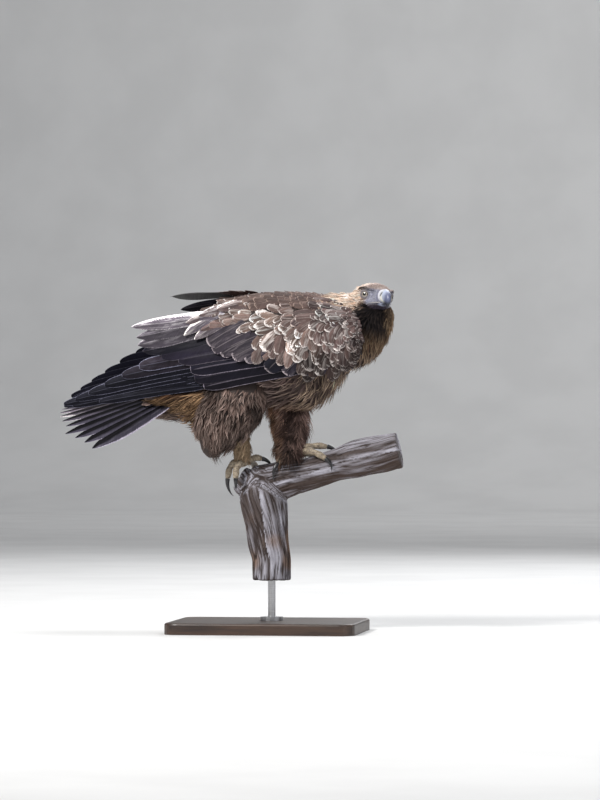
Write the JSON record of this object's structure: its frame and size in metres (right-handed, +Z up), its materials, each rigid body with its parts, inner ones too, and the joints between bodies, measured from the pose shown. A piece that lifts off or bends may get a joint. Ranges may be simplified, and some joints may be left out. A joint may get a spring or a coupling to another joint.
{
  "type": "golden eagle life-size display model",
  "caption": "Life-size golden eagle with folded wings, standing along a cut length of dead branch on a plain base and rod, head turned to its right.",
  "frame": {"origin": "middle of the underside of the display stand's base, on the surface it stands on", "axes": "+X forward, from the tail to the bill; +Y to the bird's left; +Z up. The head is turned towards -Y."},
  "size_m": [0.7363, 0.3, 0.7315],
  "materials": {
    "plumage_brown": "matte dark brown feathers with pale worn edges",
    "plumage_gold": "pale golden hackle feathers",
    "plumage_tawny": "short tawny feathering",
    "flight_feather": "blackish vanes with a faint satin sheen",
    "toe_skin": "pale yellow scaled skin",
    "eye": "wet glossy eye",
    "bill_horn": "blue-grey horn with a dark tip and a pale cere",
    "claw_horn": "black horn",
    "dead_wood": "weathered silver-grey dead branch",
    "base_wood": "satin dark-stained board",
    "rod_steel": "brushed rod"
  },
  "bodies": {
    "root": {"head": "plumage_gold", "neck": "plumage_gold", "trunk": "plumage_brown", "wing_right": "plumage_brown", "wing_left": "plumage_brown", "primaries_right": "flight_feather", "primaries_left": "flight_feather", "tail": "flight_feather", "thigh_right": "plumage_brown", "thigh_left": "plumage_brown", "shank_right": "plumage_tawny", "shank_left": "plumage_tawny", "foot_right": "toe_skin", "foot_left": "toe_skin", "eye_right": "eye", "eye_left": "eye", "bill_upper": "bill_horn", "bill_lower": "bill_horn", "perch": "dead_wood", "stand_base": "base_wood", "stand_rod": "rod_steel", "claw_right_middle": "claw_horn", "claw_right_outer": "claw_horn", "claw_right_inner": "claw_horn", "claw_right_hind": "claw_horn", "claw_left_middle": "claw_horn", "claw_left_outer": "claw_horn", "claw_left_inner": "claw_horn", "claw_left_hind": "claw_horn"}
  },
  "joints": []
}
